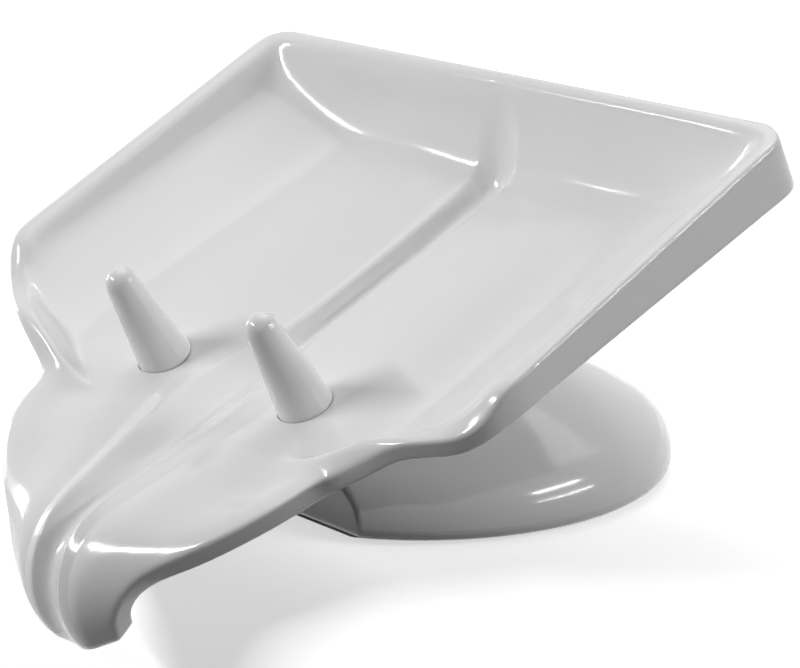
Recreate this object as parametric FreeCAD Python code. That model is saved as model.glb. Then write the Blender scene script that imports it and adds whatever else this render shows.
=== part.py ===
import FreeCAD, Part
import math
import os

# Self-draining soap dish: a fluted, sloping tray with a curled pouring lip on a domed foot.
# Millimetres. +Z is up, +X to the right and -Y to the front, where the lip pours.
# The origin is the centre of the foot on the surface it stands on.

Vec = FreeCAD.Vector

# tray, measured in its rim plane: x across, s down the slope from the back edge, n square to it
tray_width = 105.0
rim_slope = math.radians(26.6)
rim_back_setback = 16.5
side_rim_length = 52.0
back_corner_round = 4.5
rim_width = 3.0
rim_round = 1.3
wall = 2.9

# floor of the tray, with depths below the rim plane
floor_depth_back = 12.0
floor_depth_spout = 9.1
foot_half_width = 32.0
side_slope = math.tan(math.radians(23.5))
foot_blend = 5.0
back_wall_foot = 6.6
back_wall_draft = math.radians(18.0)
back_wall_blend = 4.0
pillow_crown = 0.45
outer_wall_back = 8.4
outer_wall_front = 4.9

# drain channel: a narrow groove that opens into a wide vee with raised brinks between the pegs
channel_half_width = 10.9
channel_fall = 0.5
groove_half_width = 2.7
groove_head_width = 4.0
groove_head_end = 20.0
groove_flat_half = 0.9
groove_depth = 3.0
vee_depth = 1.9
vee_ridge = 1.1
groove_end = 44.0
vee_start = 66.0
lobe_start = 58.0

# front corners and spout, in the same rim plane
corner_end = 71.0
spout_root_half_width = 30.0
spout_start = 76.0
lip_start = 87.0
lip_radius = 11.6
lip_turn = math.radians(114.0)
lip_end_half_width = 8.8
lip_corner_round = 2.2
lip_lobe_half = 4.8
lip_vee_depth = 0.2
lip_crown = 3.0
spout_edge = 2.9
spout_edge_lift = 0.75

# pegs that hold the soap: a tapered stud on a shank that is staked under the floor
peg_offset = 15.1
peg_place = 60.5
peg_height = 15.9
peg_base_radius = 3.8
peg_tip_radius = 2.25
peg_lean = math.radians(6.6)
peg_seat_depth = 0.3
peg_foot_round = 0.8
peg_seat_play = 0.1
peg_shank_radius = 2.0
peg_stake_radius = 3.0
peg_stake_height = 0.9
peg_boss_radius = 4.0
peg_boss_height = 0.9

# foot: a hollow dome with a flat front, over a soft sole
dome_radius = 35.5
dome_rise = 16.0
dome_ring_height = 1.8
dome_bottom_inset = 1.5
dome_front_cut = 6.5
dome_edge_round = 1.6
dome_side_round = 8.0
shell = 2.4
sole_proud = 0.5
sole_thickness = 1.9
sole_play = 0.15
sole_lip = 1.2
sole_ledge = 1.4

# oval neck between foot and tray, with a plate that the tray is screwed to
neck_place = 33.5
neck_half_width = 20.0
neck_half_depth = 12.5
neck_flare = 4.0
neck_height = 4.9
neck_root_share = 0.67
seat_gap = 0.6
seat_plate = 2.8
plinth_wall = 2.2

# self-tapping pan-head screws
screw_offset = 13.0
screw_radius = 1.45
screw_play = 0.2
screw_length = 7.2
screw_head_radius = 2.8
screw_head_height = 1.9
screw_recess_width = 0.9
screw_recess_depth = 1.1
screw_tip = 1.2
boss_radius = 3.4
pilot_spare = 0.6
overrun = 1.0


def tray_point(x, s, n):
    """Place a point of the tray's own frame in the part's frame."""
    return Vec(x, rim_back_setback - s * math.cos(rim_slope) - n * math.sin(rim_slope),
               rim_back_height - s * math.sin(rim_slope) + n * math.cos(rim_slope))


def smooth(t):
    """Ease from 0 to 1."""
    t = min(1.0, max(0.0, t))
    return t * t * (3 - 2 * t)


def mix(a, b, t):
    return a + (b - a) * t


def ramp(t, blend):
    """Nothing below zero and t above it, with a rounded turn between them."""
    if t <= -blend:
        return 0.0
    return (t + blend) ** 2 / (4 * blend) if t < blend else t


def follow(table, t):
    """Read a table of (place, value) pairs, straight between them."""
    if t <= table[0][0]:
        return table[0][1]
    for (t0, v0), (t1, v1) in zip(table, table[1:]):
        if t <= t1:
            return mix(v0, v1, (t - t0) / (t1 - t0))
    return table[-1][1]


floor_rise = (floor_depth_back - floor_depth_spout) / (spout_start - back_wall_foot)
floor_angle = math.atan(floor_rise)
seat_angle = rim_slope - floor_angle
seat_level = -(wall + groove_depth + channel_fall + seat_gap)
lip_length = lip_radius * lip_turn
dome_front = dome_radius - dome_front_cut
tray_length = lip_start + lip_length
crown_end = lip_start + lip_length / 3
half_width = tray_width / 2


def floor_level(s):
    """Height of the floor at s, seen from the rim plane."""
    return -floor_depth_back + floor_rise * (s - back_wall_foot)


# the rim's height follows from the foot, the neck on it and the tray's own depths
seat_height = sole_proud + dome_ring_height + dome_rise + neck_height
rim_back_height = (seat_height - seat_level * math.cos(seat_angle)
                   + neck_place * math.sin(rim_slope) - floor_level(neck_place) * math.cos(rim_slope))


def side_rise(x):
    """Rise of the sloping sides above the floor at a distance x from the middle."""
    return side_slope * ramp(abs(x) - foot_half_width, foot_blend)


# where the cross-sections stand, as shares of each stretch of the tray
back_shares = [0.0, 0.2, 0.42, 0.62, 0.82, 1.05, 1.4, 1.8]
side_shares = [0.25, 0.5, 0.75, 0.95]
front_shares = [0.1, 0.22, 0.33, 0.43, 0.53, 0.63, 0.72, 0.8, 0.88, 0.96]
notch_shares = [0.06, 0.26, 0.5, 0.75, 1.0]
lip_shares = [0.16, 0.32, 0.48, 0.64, 0.78]
end_shares = [1.0, 0.6, 0.3, 0.1, 0.0]

# outline of the tray from above: front corner, then notch and spout
corner_shares = [(0.0, 1.0), (0.14, 1.0), (0.21, 0.98), (0.37, 0.93), (0.51, 0.81), (0.61, 0.667),
                 (0.71, 0.5), (0.77, 0.427), (0.87, 0.227), (0.97, 0.04), (1.0, 0.0)]
spout_shares = [(0.0, 1.0), (0.08, 0.98), (0.18, 0.925), (0.28, 0.81), (0.39, 0.615), (0.49, 0.42),
                (0.6, 0.255), (0.75, 0.12), (0.88, 0.05), (1.0, 0.0)]
# fall of the rim round the front corner, from the rim plane to the low edge of the spout
nose_shares = [(0.0, 0.0), (0.2, 0.0), (0.37, 0.3), (0.5, 0.46), (0.72, 0.43), (0.78, 0.5),
               (0.87, 0.76), (0.97, 0.97), (1.0, 1.0)]
nose_start_share = 0.2
nose_end_share = 0.4

# cross-section: where its control points stand, as shares of the width they span
groove_shares = [(0.0, 0.0), (0.5, 0.55), (0.92, 0.94)]
strip_shares = [(0.05, 0.04), (0.55, 0.5), (0.9, 0.9)]
shoulder_share = 0.62
lip_shoulder_share = 0.6
shoulder_fall_share = 0.2
crown_start_share = 0.5
crown_blend_share = 0.15
pan_shares = [(0.05, 0.35), (0.22, 1.0), (0.42, 0.8), (0.62, 0.2), (0.8, 0.0)]
rim_shares = [(1.0, 0.0), (0.72, 0.45), (0.5, 0.92), (0.25, 1.0)]
under_shares = [1.0, 0.62, 0.25]
edge_zone_share = 0.75
rim_turn_share = 0.31
lower_edge_share = 0.22
back_under_share = 1.3
edge_inset = 1.0
skew_limit = 2.0

# smaller shares: plinth root in the wall, stake, screw and neck
plinth_root_share = 0.5
stake_share = 0.55
point_share = 0.3
head_share = 0.35
neck_shares = [(0.0, 0.0), (0.45, 0.1), (1.0, 1.0)]


def outline(s):
    """Half width of the tray at s."""
    if s <= side_rim_length:
        t = max(0.0, 1 - s / back_corner_round)
        return half_width - back_corner_round * (1 - math.sqrt(1 - t * t))
    if s <= corner_end:
        share = follow(corner_shares, (s - side_rim_length) / (corner_end - side_rim_length))
        return mix(spout_root_half_width, half_width, share)
    share = follow(spout_shares, (s - corner_end) / (tray_length - corner_end))
    t = max(0.0, 1 - (tray_length - s) / lip_corner_round)
    rounding = lip_corner_round * (1 - math.sqrt(max(0.0, 1 - t * t)))
    return mix(lip_end_half_width, spout_root_half_width, share) - rounding


def channel_points(s):
    """Control points of half the channel: groove, shoulder and the fall from the crest."""
    opened = smooth((s - groove_end) / (vee_start - groove_end))
    lobes = smooth((s - lobe_start) / (crown_end - lobe_start))
    fade = smooth((s - lip_start) / (tray_length - lip_start))
    head = smooth((groove_head_end - s) / (groove_head_end - back_wall_foot))
    crest = mix(channel_half_width, lip_lobe_half, lobes)
    deep = mix(mix(groove_depth, vee_depth, opened), lip_vee_depth, fade)
    shoulder = crest * mix(shoulder_share, lip_shoulder_share, fade)
    edge = mix(mix(groove_half_width, groove_head_width, head), shoulder, opened)
    fall = mix(channel_fall, deep * shoulder_fall_share, opened)
    ridge = vee_ridge * opened * (1 - fade)
    points = [(0, -deep)]
    brink = (edge, ridge - fall)
    for (x0, h0), (x1, h1), shares in (((groove_flat_half, -deep), brink, groove_shares),
                                       (brink, (crest, 0), strip_shares)):
        points += [(mix(x0, x1, a), mix(h0, h1, b)) for a, b in shares]
    return points


def half_section(s, inset=0.0):
    """Control points of half a cross-section, from the channel over the rim to the underside."""
    w = outline(s)
    step = rim_round / 2
    bend = (outline(s + step) - outline(s - step)) / (2 * step) if s > side_rim_length else 0.0
    skew = min(skew_limit, math.sqrt(1 + bend * bend)) if s < lip_start else 1.0
    top = -floor_level(min(s, lip_start))
    climb = min(1.0, ramp(back_wall_foot - s, back_wall_blend) / math.tan(back_wall_draft) / top)
    crown = lip_crown * smooth((s - spout_start) / (crown_end - spout_start))
    flat_out = 1 - smooth((s - spout_start) / (crown_end - spout_start))

    def bowed(x):
        return crown * ramp(x / w - crown_start_share, crown_blend_share) / (1 - crown_start_share)

    channel = channel_points(s)
    crest = channel[-1][0]
    zone = min(2 * rim_width * skew, (w - crest) * edge_zone_share)
    edge_base = w - zone
    corner = (s - side_rim_length) / (corner_end - side_rim_length)
    low_lift = spout_edge_lift * flat_out
    lift = mix(top, low_lift, follow(nose_shares, corner))
    rim = lift - bowed(w)
    base = min(side_rise(edge_base), lift)
    depth = mix(outer_wall_back, outer_wall_front, min(1.0, s / side_rim_length))
    thin = smooth((corner - nose_start_share) / (nose_end_share - nose_start_share))
    bottom = rim - mix(depth, spout_edge, thin)
    back = smooth(1 - s / (back_wall_foot * back_under_share))
    turn = min(rim_round, (rim - bottom) * rim_turn_share)
    bulge = pillow_crown * flat_out

    def up(h):
        return mix(h, top, climb)

    pts = [(x, up(h - bowed(x))) for x, h in channel]
    for share, swell in pan_shares:
        x = mix(crest, edge_base, share)
        pts.append((x, up(min(side_rise(x), lift) + bulge * swell - bowed(x))))
    for share, rise in rim_shares:
        x = w - share * zone
        pts.append((x, up(mix(base, lift, rise) - bowed(x))))
    pts += [(w, rim), (w, rim - turn), (w, mix(rim, bottom, 0.5)), (w, bottom + turn),
            (w, bottom), (w - zone * lower_edge_share, bottom)]
    # underside, one wall below the floor
    for share in under_shares:
        x = mix(crest, edge_base, share)
        pts.append((x, mix(min(side_rise(x), lift) - bowed(x) - wall, bottom, back)))
    for x, h in channel[::-2]:
        pts.append((x, mix(h - bowed(x) - wall, bottom, back)))
    if inset:
        middle = (rim + bottom) / 2
        across, high = 1 - inset / w, 1 - 2 * inset / (rim - bottom)
        pts = [(x * across, middle + (h - middle) * high) for x, h in pts]
    return pts


def ring(s, inset=0.0):
    """A closed ring of control points across the tray at s, begun under the middle."""
    half = half_section(s, inset)
    full = half[::-1] + [(-x, h) for x, h in half[1:-1]]
    if s <= lip_start:
        return [tray_point(x, s, floor_level(s) + h) for x, h in full]
    slant = floor_angle - (s - lip_start) / lip_radius
    start = floor_level(lip_start)
    cs = lip_start + lip_radius * math.sin(floor_angle)
    cn = start - lip_radius * math.cos(floor_angle)
    out = []
    for x, h in full:
        r = lip_radius + h
        out.append(tray_point(x, cs - r * math.sin(slant), cn + r * math.cos(slant)))
    return out


def skin(rings):
    """A closed solid whose sides are one smooth surface over rings of control points."""
    nu, nv = len(rings[0]), len(rings)
    poles = [[rings[v][u] for v in range(nv)] for u in range(nu)]
    surface = Part.BSplineSurface()
    surface.buildFromPolesMultsKnots(poles, [1] * (nu + 1), [4] + [1] * (nv - 4) + [4],
                                     list(range(nu + 1)), list(range(nv - 2)), True, False, 3, 3)
    side = surface.toShape()
    ends = [e for e in side.Edges if not e.isSeam(side)]
    caps = [Part.Face(Part.Wire([e])) for e in ends]
    for turned in (False, True):
        body = Part.Solid(Part.makeShell([side] + [c.reversed() if turned else c for c in caps]))
        if body.isValid() and body.Volume > 0:
            return body
    raise ValueError("the skin doesn't close")


def revolve(points, centre=Vec(0, 0, 0)):
    """Turn a half profile of (radius, height) points, or 3-point arcs as nested lists, round Z."""
    edges, last = [], None
    for item in points:
        if last is not None:
            if isinstance(item[0], tuple):
                a, b = (Vec(r, 0, z) for r, z in item)
                edges.append(Part.Arc(last, a, b).toShape())
                last = b
                continue
            now = Vec(item[0], 0, item[1])
            edges.append(Part.makeLine(last, now))
            last = now
        else:
            last = Vec(item[0], 0, item[1])
    first = Vec(points[0][0], 0, points[0][1])
    if (last - first).Length:
        edges.append(Part.makeLine(last, first))
    body = Part.Face(Part.Wire(edges)).revolve(Vec(0, 0, 0), Vec(0, 0, 1), 360)
    body.translate(centre)
    return body


# square to the floor of the tray
floor_up = Vec(0, -math.sin(seat_angle), math.cos(seat_angle))


def on_floor_frame(body, x, s, level, lean=0.0):
    """Move a body from the world's frame to a place on the sloping floor."""
    turned = body.copy()
    turned.rotate(Vec(0, 0, 0), Vec(1, 0, 0), math.degrees(seat_angle + lean))
    turned.translate(tray_point(x, s, floor_level(s)) + floor_up * level)
    return turned


def oval(half_x, half_y, z=0.0):
    """A horizontal oval wire about the Z axis."""
    return Part.Wire([Part.Ellipse(Vec(0, 0, z), half_x, half_y).toShape()])


def oval_bar(half_x, half_y, z0, z1):
    return Part.Face(oval(half_x, half_y, z0)).extrude(Vec(0, 0, z1 - z0))


def build_tray():
    places = [back_wall_foot * k for k in back_shares]
    places += [mix(places[-1], side_rim_length, k) for k in side_shares]
    places += [mix(side_rim_length, corner_end, k) for k in front_shares]
    places += [mix(corner_end, lip_start, k) for k in notch_shares]
    places += [lip_start + lip_length * k for k in lip_shares]
    places += [tray_length - lip_corner_round * k for k in end_shares]
    rings = [ring(0.0, edge_inset)] + [ring(s) for s in places] + [ring(tray_length, edge_inset)]
    body = skin(rings)
    # oval plinth and screw bosses, from the seat up into the floor
    root = -wall * plinth_root_share
    plinth = oval_bar(neck_half_width, neck_half_depth, seat_level, root)
    plinth = plinth.cut(oval_bar(neck_half_width - plinth_wall, neck_half_depth - plinth_wall,
                                 seat_level - overrun, root + overrun))
    under = -wall - groove_depth + wall * plinth_root_share
    room = groove_half_width + wall
    plinth = plinth.cut(Part.makeBox(2 * room, 4 * neck_half_depth, root - under + overrun,
                                     Vec(-room, -2 * neck_half_depth, under)))
    body = body.fuse(on_floor_frame(plinth, 0, neck_place, 0))
    for side in (-1, 1):
        boss = Part.makeCylinder(boss_radius, root - seat_level, Vec(0, 0, seat_level))
        body = body.fuse(on_floor_frame(boss, side * screw_offset, neck_place, 0))
        pilot = Part.makeCylinder(screw_radius, screw_length - seat_plate + pilot_spare + overrun,
                                  Vec(0, 0, seat_level - overrun))
        body = body.cut(on_floor_frame(pilot, side * screw_offset, neck_place, 0))
        # seat of a peg: a boss below, a hole for the shank and a shallow counterbore above
        boss = Part.makeCylinder(peg_boss_radius, wall * plinth_root_share + peg_boss_height,
                                 Vec(0, 0, -wall - peg_boss_height))
        body = body.fuse(on_floor_frame(boss, side * peg_offset, peg_place, 0, peg_lean))
        hole = Part.makeCylinder(peg_shank_radius + peg_seat_play, wall + peg_boss_height + 2 * overrun,
                                 Vec(0, 0, -wall - peg_boss_height - overrun))
        seat = Part.makeCylinder(peg_base_radius + peg_seat_play, peg_seat_depth + overrun,
                                 Vec(0, 0, -peg_seat_depth))
        body = body.cut(on_floor_frame(hole.fuse(seat), side * peg_offset, peg_place, 0, peg_lean))
    return body


def build_peg():
    """A tapered stud with a domed tip and a rounded foot, its shank staked under the floor."""
    foot, under = -peg_seat_depth, -wall - peg_boss_height
    low = under - peg_stake_height
    slope = math.atan((peg_base_radius - peg_tip_radius) / (peg_height - peg_tip_radius))
    top = peg_height - peg_tip_radius
    tip_middle = (slope + math.pi / 2) / 2
    stake = peg_stake_radius * stake_share
    half = math.sin(math.pi / 4)
    narrow, cut = peg_base_radius - peg_foot_round, peg_foot_round * (1 - half)
    return revolve([(0, low), (stake, low),
                    [(mix(stake, peg_stake_radius, half), mix(under, low, half)), (peg_stake_radius, under)],
                    (peg_shank_radius, under), (peg_shank_radius, foot), (narrow, foot),
                    [(peg_base_radius - cut, foot + cut), (peg_base_radius, foot + peg_foot_round)],
                    (peg_tip_radius * math.cos(slope), top + peg_tip_radius * math.sin(slope)),
                    [(peg_tip_radius * math.cos(tip_middle), top + peg_tip_radius * math.sin(tip_middle)),
                     (0, peg_height)]])


def d_outline(radius, front, corner):
    """The right half of a round outline with a flat front and rounded corners, front to back."""
    along = math.sqrt((radius - corner) ** 2 - (front - corner) ** 2)
    middle = math.atan2(-(front - corner), along)
    half = (middle - math.pi / 2) / 2
    side = (middle + math.pi / 2) / 2

    def at(r, angle, centre=Vec(0, 0, 0)):
        return centre + Vec(r * math.cos(angle), r * math.sin(angle), 0)

    round_centre = Vec(along, -(front - corner), 0)
    meet = at(radius, middle)
    return [Part.makeLine(Vec(0, -front, 0), Vec(along, -front, 0)),
            Part.Arc(Vec(along, -front, 0), at(corner, half, round_centre), meet).toShape(),
            Part.Arc(meet, at(radius, side), Vec(0, radius, 0)).toShape()]


def d_slab(radius, front, corner, low, high):
    """A flat slab with that outline."""
    right = d_outline(radius, front, corner)
    left = [e.mirror(Vec(0, 0, 0), Vec(1, 0, 0)) for e in right]
    face = Part.Face(Part.Wire(Part.__sortEdges__(right + left)))
    face.translate(Vec(0, 0, low))
    return face.extrude(Vec(0, 0, high - low))


def dome(radius, rise, side_round, low, inset=0.0):
    """A round dome, widest at z = 0, with a ball-shaped top and its lower edge drawn in."""
    ball = ((radius - side_round) ** 2 + rise ** 2 - side_round ** 2) / (2 * (rise - side_round))
    side, crown = Vec(radius - side_round, 0, 0), Vec(0, 0, rise - ball)
    lean = math.atan2(-crown.z, side.x)

    def at(centre, r, angle):
        return centre + Vec(r * math.cos(angle), 0, r * math.sin(angle))

    widest, meet = Vec(radius, 0, 0), at(side, side_round, lean)
    top, middle = Vec(0, 0, rise), Vec(0, 0, -low)
    if inset:
        tuck = (inset ** 2 + low ** 2) / (2 * inset)
        heart = Vec(radius - tuck, 0, 0)
        foot_angle = -math.asin(low / tuck)
        foot = at(heart, tuck, foot_angle)
        lower = Part.Arc(foot, at(heart, tuck, foot_angle / 2), widest).toShape()
    else:
        foot = Vec(radius, 0, -low)
        lower = Part.makeLine(foot, widest)
    edges = [Part.makeLine(middle, foot), lower,
             Part.Arc(widest, at(side, side_round, lean / 2), meet).toShape(),
             Part.Arc(meet, at(crown, ball, (lean + math.pi / 2) / 2), top).toShape(),
             Part.makeLine(top, middle)]
    body = Part.Face(Part.Wire(edges)).revolve(Vec(0, 0, 0), Vec(0, 0, 1), 360)
    body.rotate(Vec(0, 0, 0), Vec(0, 0, 1), 90)
    return body


def build_base():
    bottom, ring_z = sole_proud, sole_proud + dome_ring_height
    body = dome(dome_radius, dome_rise, dome_side_round, dome_ring_height, dome_bottom_inset)
    front_cut = Part.makeBox(4 * dome_radius, dome_radius, 4 * dome_radius,
                             Vec(-2 * dome_radius, -dome_front - dome_radius, -2 * dome_radius))
    body = body.cut(front_cut)
    rim_edges = [e for e in body.Edges if e.BoundBox.YMax < -dome_front + sole_play]
    body = body.makeFillet(dome_edge_round, rim_edges)
    body.translate(Vec(0, 0, ring_z))
    # neck: slanted oval at the seat, flared oval inside the dome
    seat = tray_point(0, neck_place, floor_level(neck_place)) + floor_up * seat_level
    wires, inner_wires = [], []
    for share, grow in neck_shares:
        z = mix(seat.z, ring_z + dome_rise * neck_root_share, share)
        for wires_list, less in ((wires, 0.0), (inner_wires, shell)):
            w = oval(neck_half_width + neck_flare * grow - less, neck_half_depth + neck_flare * grow - less)
            w.rotate(Vec(0, 0, 0), Vec(1, 0, 0), math.degrees(seat_angle) * (1 - share))
            w.translate(Vec(0, seat.y, z))
            wires_list.append(w)
    body = body.fuse(Part.makeLoft(wires, True))
    # hollow of dome and neck, under the plate
    inner = dome(dome_radius - shell, dome_rise - shell, dome_side_round - shell, dome_ring_height + overrun)
    inner.translate(Vec(0, 0, ring_z))
    foot_wall = dome_bottom_inset + sole_lip + sole_ledge
    inner = inner.common(d_slab(dome_radius - foot_wall, dome_front - sole_lip - sole_ledge,
                                dome_edge_round, bottom - overrun, ring_z + dome_rise))
    hollow = Part.makeLoft(inner_wires, True)
    plate = Part.makeBox(4 * neck_half_width, 4 * neck_half_width, 4 * neck_half_width,
                         Vec(-2 * neck_half_width, -2 * neck_half_width, seat_level - seat_plate))
    hollow = hollow.cut(on_floor_frame(plate, 0, neck_place, 0))
    body = body.cut(inner).cut(hollow)
    # rebate for the sole and holes for the screws
    body = body.cut(sole_blank(0.0, bottom - overrun, sole_thickness))
    for side in (-1, 1):
        hole = Part.makeCylinder(screw_radius + screw_play, seat_plate + 2 * overrun,
                                 Vec(0, 0, seat_level - seat_plate - overrun))
        body = body.cut(on_floor_frame(hole, side * screw_offset, neck_place, 0))
    return body


def sole_blank(play, low, high):
    """A flat slab with the outline of the rebate under the foot, less some play."""
    return d_slab(dome_radius - dome_bottom_inset - sole_lip - play, dome_front - sole_lip - play,
                  dome_edge_round, low, high)


def build_screw():
    """A pan-head screw with its seat at z = 0 and its head below."""
    dome_arc = [(screw_head_radius * 0.8, -screw_head_height * 0.75), (0, -screw_head_height)]
    body = revolve([(0, screw_length), (screw_radius * point_share, screw_length - point_share * screw_tip),
                    (screw_radius, screw_length - screw_tip), (screw_radius, 0), (screw_head_radius, 0),
                    (screw_head_radius, -screw_head_height * head_share), dome_arc])
    for size in ((screw_head_radius, screw_recess_width), (screw_recess_width, screw_head_radius)):
        slot = Part.makeBox(size[0], size[1], screw_recess_depth + overrun,
                            Vec(-size[0] / 2, -size[1] / 2, -screw_head_height - overrun))
        body = body.cut(slot)
    return body


os.makedirs("parts", exist_ok=True)
tray = build_tray()
tray.exportStep("parts/tray.step")
peg = build_peg()
left_peg = on_floor_frame(peg, -peg_offset, peg_place, 0, peg_lean)
left_peg.exportStep("parts/left_peg.step")
right_peg = on_floor_frame(peg, peg_offset, peg_place, 0, peg_lean)
right_peg.exportStep("parts/right_peg.step")
base = build_base()
base.exportStep("parts/base_shell.step")
screw = build_screw()
screws = Part.makeCompound([on_floor_frame(screw, side * screw_offset, neck_place, seat_level - seat_plate)
                            for side in (-1, 1)])
screws.exportStep("parts/base_screws.step")
sole = sole_blank(sole_play, 0, sole_thickness)
sole.exportStep("parts/base_sole.step")
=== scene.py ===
import math

import bpy
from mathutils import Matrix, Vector

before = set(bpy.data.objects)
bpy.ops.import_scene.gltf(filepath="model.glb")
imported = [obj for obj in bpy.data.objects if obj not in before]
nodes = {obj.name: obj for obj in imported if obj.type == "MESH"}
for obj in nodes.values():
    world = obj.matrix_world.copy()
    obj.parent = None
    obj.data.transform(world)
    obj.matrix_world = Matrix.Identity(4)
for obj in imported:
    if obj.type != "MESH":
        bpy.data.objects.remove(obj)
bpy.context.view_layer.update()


# Tray. One white injection moulding, polished in the mould: a fluted floor, raised sides and a
# pouring lip that curls under. It is the solid model's own piece, and gets its gloss here.
class Wire:
    """A shader socket that takes part in ordinary sums."""

    def __init__(self, tree, socket):
        self.tree, self.socket = tree, socket

    def reckon(self, operation, other):
        node = self.tree.nodes.new("ShaderNodeMath")
        node.operation = operation
        for slot, value in zip(node.inputs, (self, other)):
            join(self.tree, slot, value)
        return Wire(self.tree, node.outputs[0])

    def __add__(self, other):
        return self.reckon("ADD", other)

    def __mul__(self, other):
        return self.reckon("MULTIPLY", other)

    __radd__, __rmul__ = __add__, __mul__


def join(tree, slot, value):
    """Give a socket a link or a plain value."""
    if isinstance(value, Wire):
        tree.links.new(value.socket, slot)
    else:
        slot.default_value = value


class Finish:
    """The nodes of a material or of the world, added one by one."""

    def __init__(self, owner):
        owner.use_nodes = True
        self.owner, self.tree = owner, owner.node_tree
        self.tree.nodes.clear()

    def add(self, kind, sockets=None, output=0):
        node = self.tree.nodes.new("ShaderNode" + kind)
        for name, value in (sockets or {}).items():
            join(self.tree, node.inputs[name], value)
        return Wire(self.tree, node.outputs[output]) if node.outputs else None


def grey(level):
    """A neutral colour, from 0 for black to 1 for white."""
    return (level, level, level, 1)


def glossy_plastic(name, white, dust_scale):
    """White moulded plastic: a polished skin with the faint swell and dust of a moulding."""
    swell_scale = 38.0
    swell_depth = 0.0003
    swell_shade = 0.985
    dust_share = 0.02
    roughness, roughness_spread = 0.16, 0.05
    finish = Finish(bpy.data.materials.new(name))
    place = finish.add("TexCoord", output="Object")
    swell = finish.add("TexNoise", {"Vector": place, "Scale": swell_scale, "Detail": 1.0},
                       output="Fac")
    dust = finish.add("TexNoise", {"Vector": place, "Scale": dust_scale, "Detail": 4.0},
                      output="Fac")
    tone = finish.add("MixRGB", {"Fac": swell * 0.5, "Color1": grey(white * swell_shade),
                                 "Color2": grey(white)})
    skin = finish.add("Bump", {"Strength": 0.3, "Distance": swell_depth,
                               "Height": swell + dust * dust_share})
    shader = finish.add("BsdfPrincipled", {
        "Base Color": tone, "Normal": skin,
        "Roughness": dust * roughness_spread + (roughness - roughness_spread / 2),
        "IOR": 1.5, "Coat Weight": 0.3, "Coat Roughness": 0.09})
    finish.add("OutputMaterial", {"Surface": shader})
    return finish.owner


def dress(node, material):
    """Give a piece of the solid model its finish."""
    nodes[node].data.materials.clear()
    nodes[node].data.materials.append(material)


tray_white = glossy_plastic("tray_white", white=0.86, dust_scale=900.0)
dress("tray", tray_white)

# Pegs. Two tapered studs of the same white plastic, pressed through the floor and staked below.
# They keep the soap from sliding down the spout.
dress("left_peg", tray_white)
dress("right_peg", tray_white)

# Foot. A hollow domed moulding of white plastic with a flat front. Its oval neck and the plate
# that the tray sits on are moulded in one with it.
dress("base_shell", glossy_plastic("base_white", white=0.84, dust_scale=700.0))

# Screws. Two self-tapping screws of zinc-plated steel, driven up from inside the foot into the
# tray's bosses. The sole hides them.
scratch_scale = 2500.0
dark_zinc, bright_zinc = (0.5, 0.5, 0.48, 1), (0.72, 0.72, 0.7, 1)
finish = Finish(bpy.data.materials.new("screw_zinc"))
place = finish.add("TexCoord", output="Object")
scratch = finish.add("TexNoise", {"Vector": place, "Scale": scratch_scale, "Detail": 3.0},
                     output="Fac")
plating = finish.add("MixRGB", {"Fac": scratch, "Color1": dark_zinc, "Color2": bright_zinc})
shader = finish.add("BsdfPrincipled", {
    "Base Color": plating, "Metallic": 1.0, "Roughness": scratch * 0.2 + 0.25})
finish.add("OutputMaterial", {"Surface": shader})
dress("base_screws", finish.owner)

# Sole. A die-cut sheet of pale foam rubber with fine open cells, glued in the rebate under the
# foot. It closes the foot and keeps the dish from sliding.
cell_scale = 1600.0
pore_depth = 0.0001
finish = Finish(bpy.data.materials.new("sole_foam"))
place = finish.add("TexCoord", output="Object")
cells = finish.add("TexVoronoi", {"Vector": place, "Scale": cell_scale}, output="Distance")
shade = finish.add("MixRGB", {"Fac": cells, "Color1": grey(0.6), "Color2": grey(0.74)})
pores = finish.add("Bump", {"Strength": 0.5, "Distance": pore_depth, "Height": cells})
shader = finish.add("BsdfPrincipled", {
    "Base Color": shade, "Roughness": cells * 0.1 + 0.8, "Normal": pores})
finish.add("OutputMaterial", {"Surface": shader})
dress("base_sole", finish.owner)


# Floor. A plain white block with a rounded front edge, like a shelf, so that the foot stands on
# it and the pouring lip hangs clear in front.
def shown(finish):
    """1 where a surface is looked at or mirrored, 0 where it only throws light back."""
    return (finish.add("LightPath", output="Is Camera Ray")
            + finish.add("LightPath", output="Is Glossy Ray")
            + finish.add("LightPath", output="Is Transmission Ray"))


block_size = 4.0
block_front = -0.046
edge_round, edge_steps = 0.014, 24
floor_glow = 0.58
bpy.ops.object.select_all(action="DESELECT")
bpy.ops.mesh.primitive_cube_add(
    size=block_size, location=(0, block_front + block_size / 2, -block_size / 2))
floor = bpy.context.object
floor.name = "floor"
edge = floor.modifiers.new("rounded edge", "BEVEL")
edge.width, edge.segments = edge_round, edge_steps
edge.limit_method = "NONE"
bpy.ops.object.modifier_apply(modifier=edge.name)
bpy.ops.object.shade_smooth_by_angle(angle=math.radians(30))
finish = Finish(bpy.data.materials.new("floor_white"))
seen = shown(finish)
paint = finish.add("MixRGB", {"Fac": seen, "Color1": grey(0.06), "Color2": grey(0.92)})
board = finish.add("BsdfDiffuse", {"Color": paint})
glow = finish.add("Emission", {"Strength": seen * floor_glow})
finish.add("OutputMaterial", {"Surface": finish.add("AddShader", {0: board, 1: glow})})
floor.data.materials.append(finish.owner)

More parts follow.
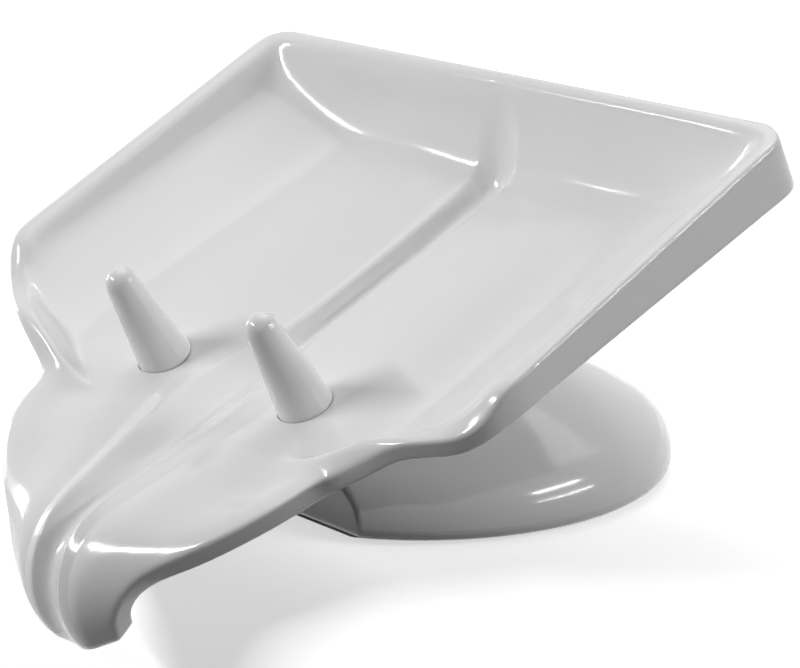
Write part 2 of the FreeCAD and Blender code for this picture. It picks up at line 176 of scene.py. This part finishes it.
# Background. It is white where it is looked at or mirrored in the gloss, and gives the object
# hardly any light of its own.
sky_strength = 0.03
world = bpy.data.worlds.new("studio")
bpy.context.scene.world = world
finish = Finish(world)
sky = finish.add("Background", {
    "Color": grey(1), "Strength": shown(finish) * (1 - sky_strength) + sky_strength})
finish.add("OutputWorld", {"Surface": sky})


# Lamps. A large soft overhead and a long key from the front left light the tray, and thin strips
# draw the fine highlights on the foot, the tray's corner, the lip and the notches.
def softbox(name, place, aim, width, height, power):
    """A rectangular studio lamp, turned to what it lights."""
    lamp = bpy.data.lights.new(name, "AREA")
    lamp.shape, lamp.size, lamp.size_y, lamp.energy = "RECTANGLE", width, height, power
    holder = bpy.data.objects.new(name, lamp)
    holder.location = place
    holder.rotation_euler = (Vector(aim) - Vector(place)).to_track_quat("-Z", "Y").to_euler()
    bpy.context.scene.collection.objects.link(holder)


dish, lip = (0, 0, 0.03), (0, -0.05, 0.02)
softbox("overhead", (-0.1, 0.2, 0.8), dish, width=0.9, height=0.9, power=2.6)
softbox("gleam", (-0.1, 0.2, 0.75), dish, width=0.2, height=0.03, power=0.3)
softbox("key", (-0.46, -0.76, 0.48), dish, width=0.52, height=0.05, power=5.5)
softbox("side_low", (0.85, 0.42, 0.28), dish, width=0.5, height=0.022, power=1.3)
softbox("side_high", (0.76, 0.38, 0.5), dish, width=0.4, height=0.022, power=2.2)
softbox("window_left", (-0.9, -0.16, 0.13), lip, width=0.05, height=0.22, power=0.5)
softbox("window_right", (-0.9, -0.06, 0.13), lip, width=0.03, height=0.22, power=0.35)

# Camera. It stands where the photographer stood, a little above the dish and to its front
# right, and the dish fills the frame as in the photograph.
aim = Vector((-0.02318, 0.0165, 0.01092))
distance, turn, height = 0.41172, math.radians(48.67), math.radians(15.73)
camera = bpy.data.objects.new("camera", bpy.data.cameras.new("camera"))
camera.location = aim + distance * Vector((math.cos(height) * math.sin(turn),
                                           -math.cos(height) * math.cos(turn),
                                           math.sin(height)))
camera.rotation_euler = (aim - camera.location).to_track_quat("-Z", "Y").to_euler()
camera.data.lens = 122.43
camera.data.clip_start = 0.01
bpy.context.scene.collection.objects.link(camera)
bpy.context.scene.camera = camera
bpy.context.scene.view_settings.view_transform = "Standard"
